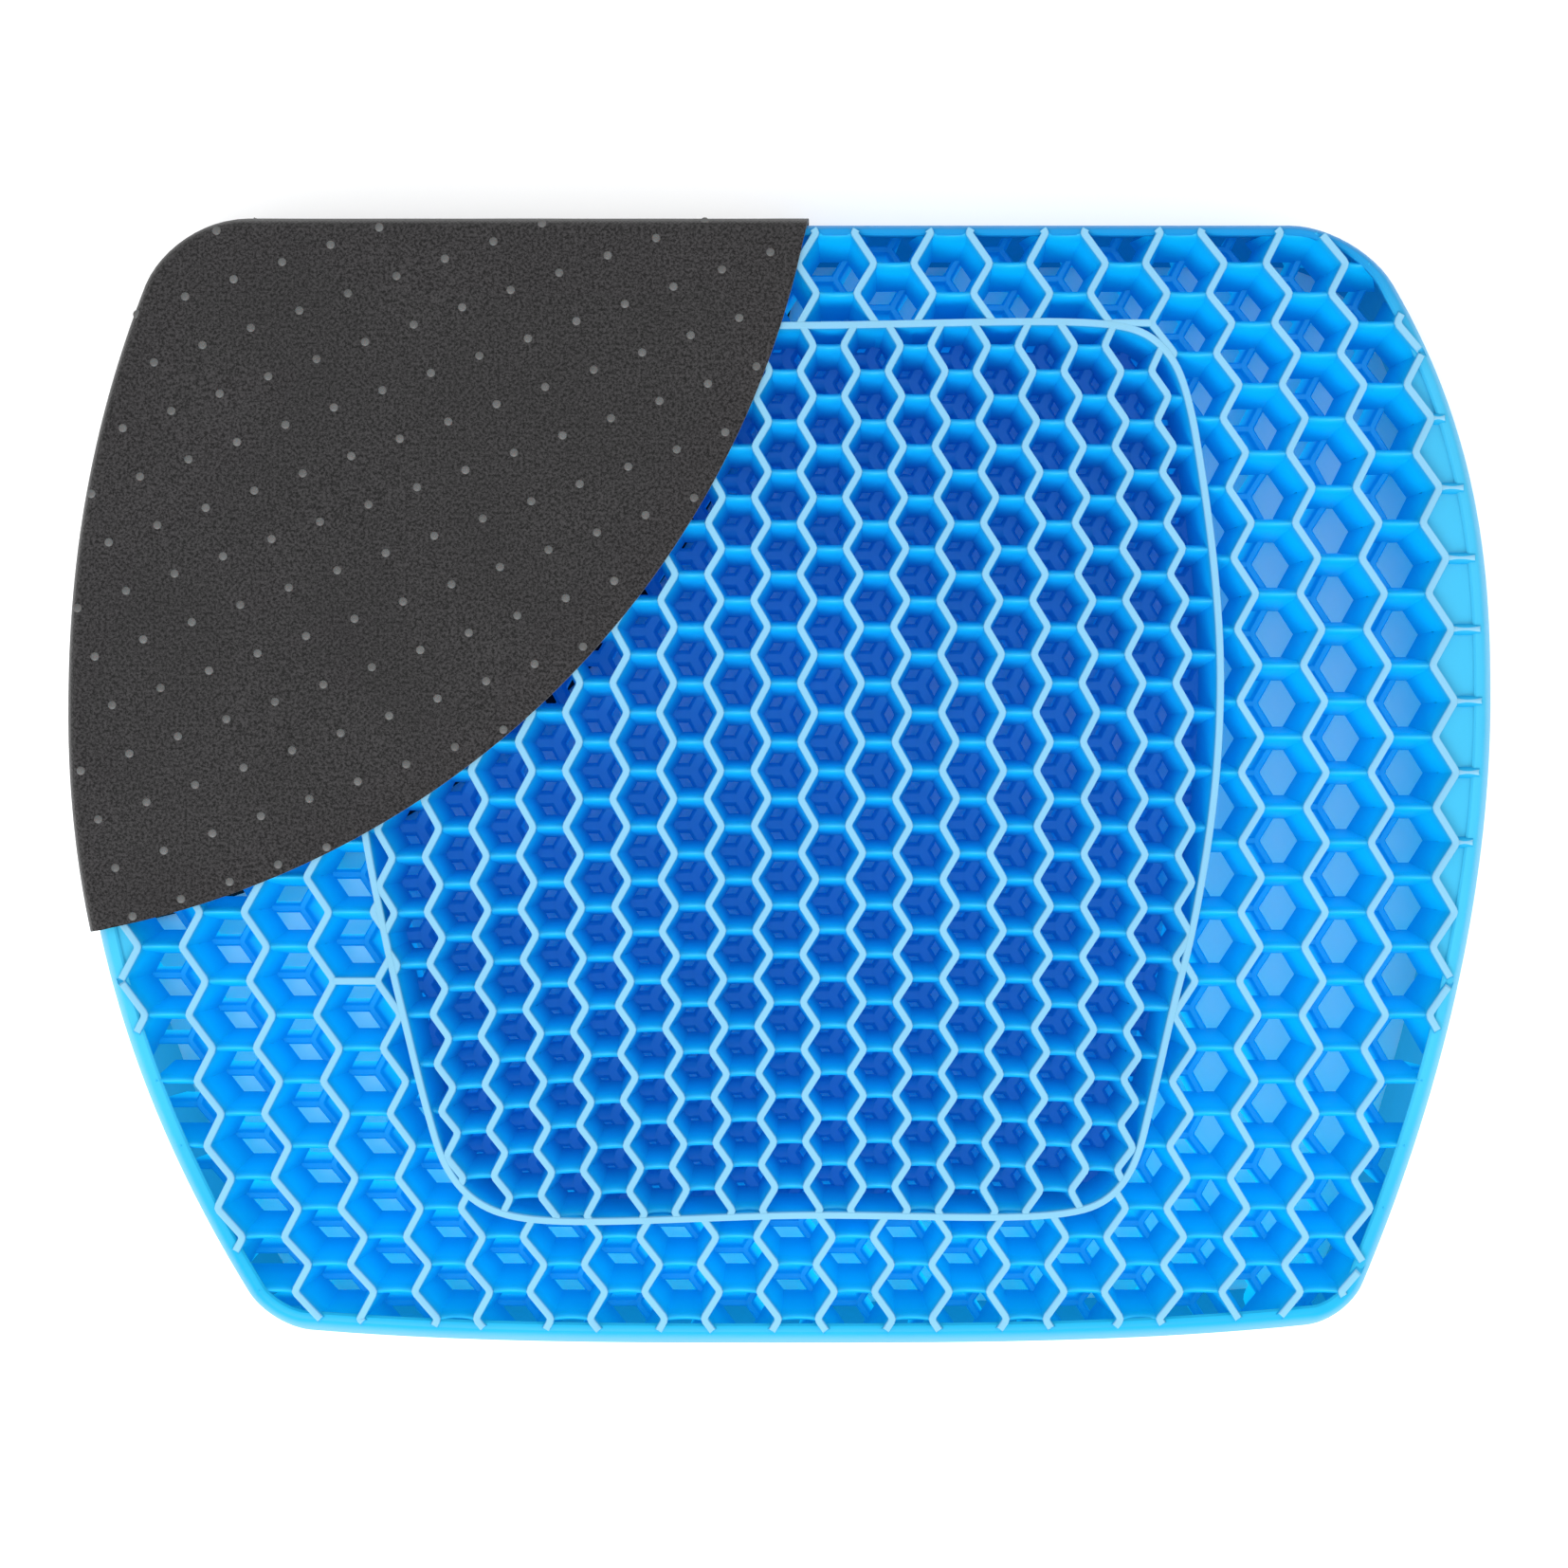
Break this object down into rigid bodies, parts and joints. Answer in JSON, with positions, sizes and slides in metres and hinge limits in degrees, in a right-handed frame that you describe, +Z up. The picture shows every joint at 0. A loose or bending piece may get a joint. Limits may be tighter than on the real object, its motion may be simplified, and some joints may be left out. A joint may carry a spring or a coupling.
{
  "type": "honeycomb gel seat cushion",
  "caption": "Two-layer honeycomb gel seat pad with a cut-back zipped fabric cover that carries a grid of grip dots.",
  "frame": {"origin": "middle of the whole object's footprint, on the surface it lies on", "axes": "+X along the cushion's width towards the uncovered side, +Y towards the straight rear edge, +Z up"},
  "size_m": [0.4394, 0.3494, 0.0417],
  "materials": {
    "gel_upper": "translucent soft elastomer, glossy walls, paler matt top edges",
    "gel_lower": "translucent soft elastomer, glossy walls",
    "cover_knit": "fine matt charcoal weave",
    "cover_underside": "fine matt charcoal weave, no dots",
    "cover_band": "fine matt charcoal weave",
    "grip_dot": "low translucent grey silicone domes",
    "thread": "twisted polyester sewing thread",
    "zip_tape": "woven tape with a herringbone",
    "zip_nylon": "moulded nylon coil",
    "zip_enamel": "satin black enamel on die-cast zinc"
  },
  "bodies": {
    "gel_pad": {"gel_upper_layer": "gel_upper", "gel_lower_layer": "gel_lower"},
    "cover": {"cover_top_panel": "cover_knit", "cover_bottom_panel": "cover_underside", "cover_band_left_upper": "cover_band", "cover_band_left_lower": "cover_band", "cover_band_rear_upper": "cover_band", "cover_band_rear_lower": "cover_band", "zip_tape_upper": "zip_tape", "zip_tape_lower": "zip_tape", "zip_teeth_upper": "zip_nylon", "zip_teeth_lower": "zip_nylon", "zip_end_stop": "zip_enamel"},
    "slider": {"zip_slider": "zip_enamel"},
    "pull": {"zip_pull": "zip_enamel"}
  },
  "joints": [
    {"name": "cover_pull_off", "type": "slide", "parent": "gel_pad", "child": "cover", "axis": [-0.7071, 0.7071, 0], "range_m": [0, 0.3]},
    {"name": "zip_travel", "type": "slide", "parent": "cover", "child": "slider", "axis": [1, 0, 0], "range_m": [0, 0.145]},
    {"name": "zip_pull_swing", "type": "hinge", "parent": "slider", "child": "pull", "pos_m": [-0.14726, 0.17325, 0.01065], "axis": [0, 0, 1], "range_deg": [0, 180]}
  ]
}
